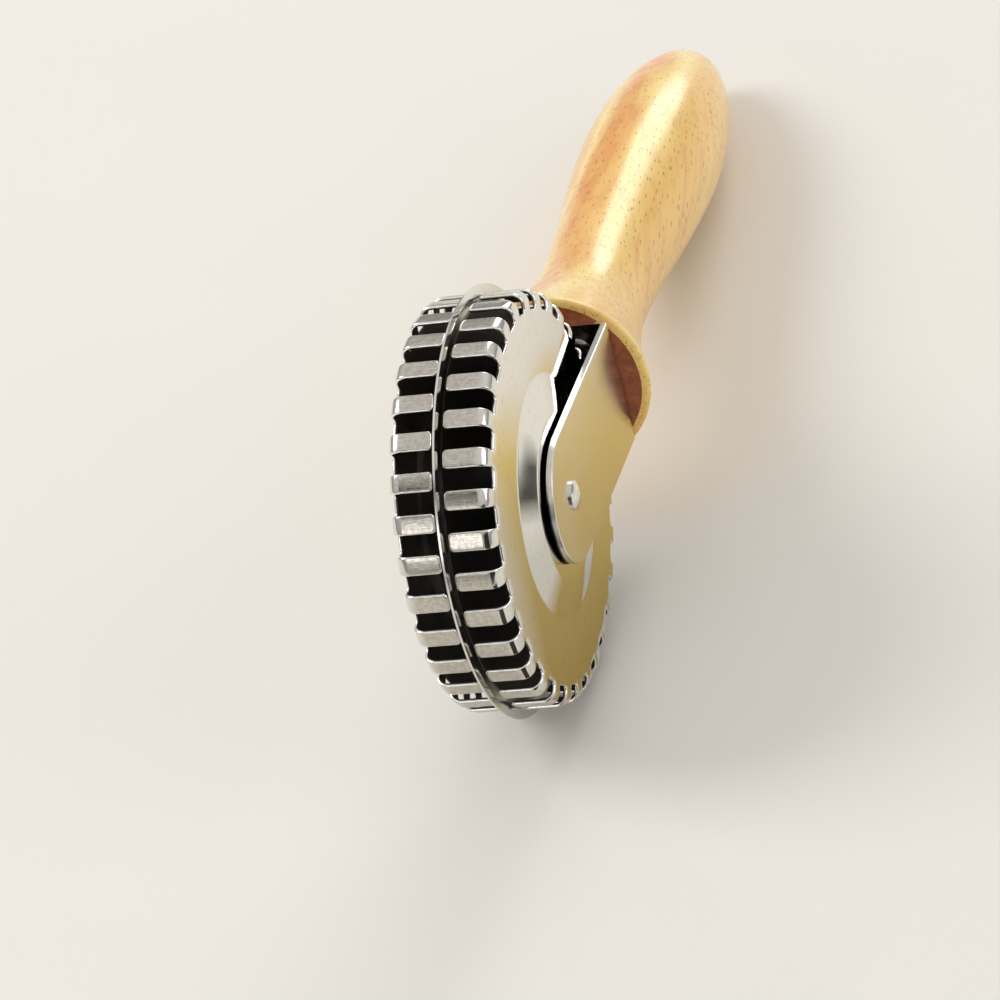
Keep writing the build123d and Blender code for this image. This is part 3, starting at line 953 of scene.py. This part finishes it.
def soft_lamp(name, place, aim, width, depth, level):
    """A large area lamp that points at a place. Its power is its level, times pi squared, times its
    distance squared, so that a level of 1 lights a white surface that faces it to about 1."""
    data = bpy.data.lights.new(name, "AREA")
    data.shape = "ELLIPSE"
    data.size = width
    data.size_y = depth
    away = Vector(aim) - Vector(place)
    data.energy = level * np.pi**2 * away.length**2
    lamp = bpy.data.objects.new(name, data)
    lamp.location = place
    lamp.rotation_euler = away.to_track_quat("-Z", "Y").to_euler()
    bpy.context.scene.collection.objects.link(lamp)
    print(name, "power in watts:", round(data.energy, 2))
    return lamp


soft_lamp("window_lamp", (-1.9, 0.28, 0.97), FOOT, 0.84, 1.8, 0.335)
soft_lamp("overhead_lamp", (0.0, -1.9, 1.87), FOOT, 1.4, 1.4, 0.43)
soft_lamp("low_window", (0.80, -0.25, 0.33), (0.09, 0, 0.05), 0.34, 0.26, 0.05)
soft_lamp("far_side_fill", (0.30, 1.8, 1.1), (0, 0, 0.05), 1.3, 1.3, 0.13)

# %% [markdown]
# The camera looks down at the wheel from in front and from the tool's left, with a long lens, so the
# shape has little perspective, as in the photograph. It could be placed by hand until it looks right.
# Here it is given by its azimuth, its height above the horizon, a roll, and its distance from a point
# it aims at. These were fitted to points measured in the photograph. Azimuth 90 looks back along the
# handle from in front.

# %% The camera
AZIMUTH = radians(112.755)
ELEVATION = radians(37.861)
ROLL = radians(-19.342)
DISTANCE = 1.17065
AIM = np.array([0.06563, -0.00073, 0.04035])
LENS = 230.4
back = np.array([np.sin(AZIMUTH), -np.cos(AZIMUTH), 0]) * np.cos(ELEVATION)
back[2] = np.sin(ELEVATION)
level = np.array([np.cos(AZIMUTH), np.sin(AZIMUTH), 0])
right = np.cos(ROLL) * level + np.sin(ROLL) * np.cross(back, level)
turned = Matrix((right, np.cross(back, right), back)).transposed()

camera_data = bpy.data.cameras.new("photo_camera")
camera_data.sensor_width = 36.0
camera_data.lens = LENS
camera = bpy.data.objects.new("photo_camera", camera_data)
camera.location = AIM + DISTANCE * back
camera.rotation_euler = turned.to_euler()
bpy.context.scene.collection.objects.link(camera)
bpy.context.scene.camera = camera
bpy.context.scene.view_settings.view_transform = "Standard"
print("camera at", np.round(tuple(camera.location), 4))
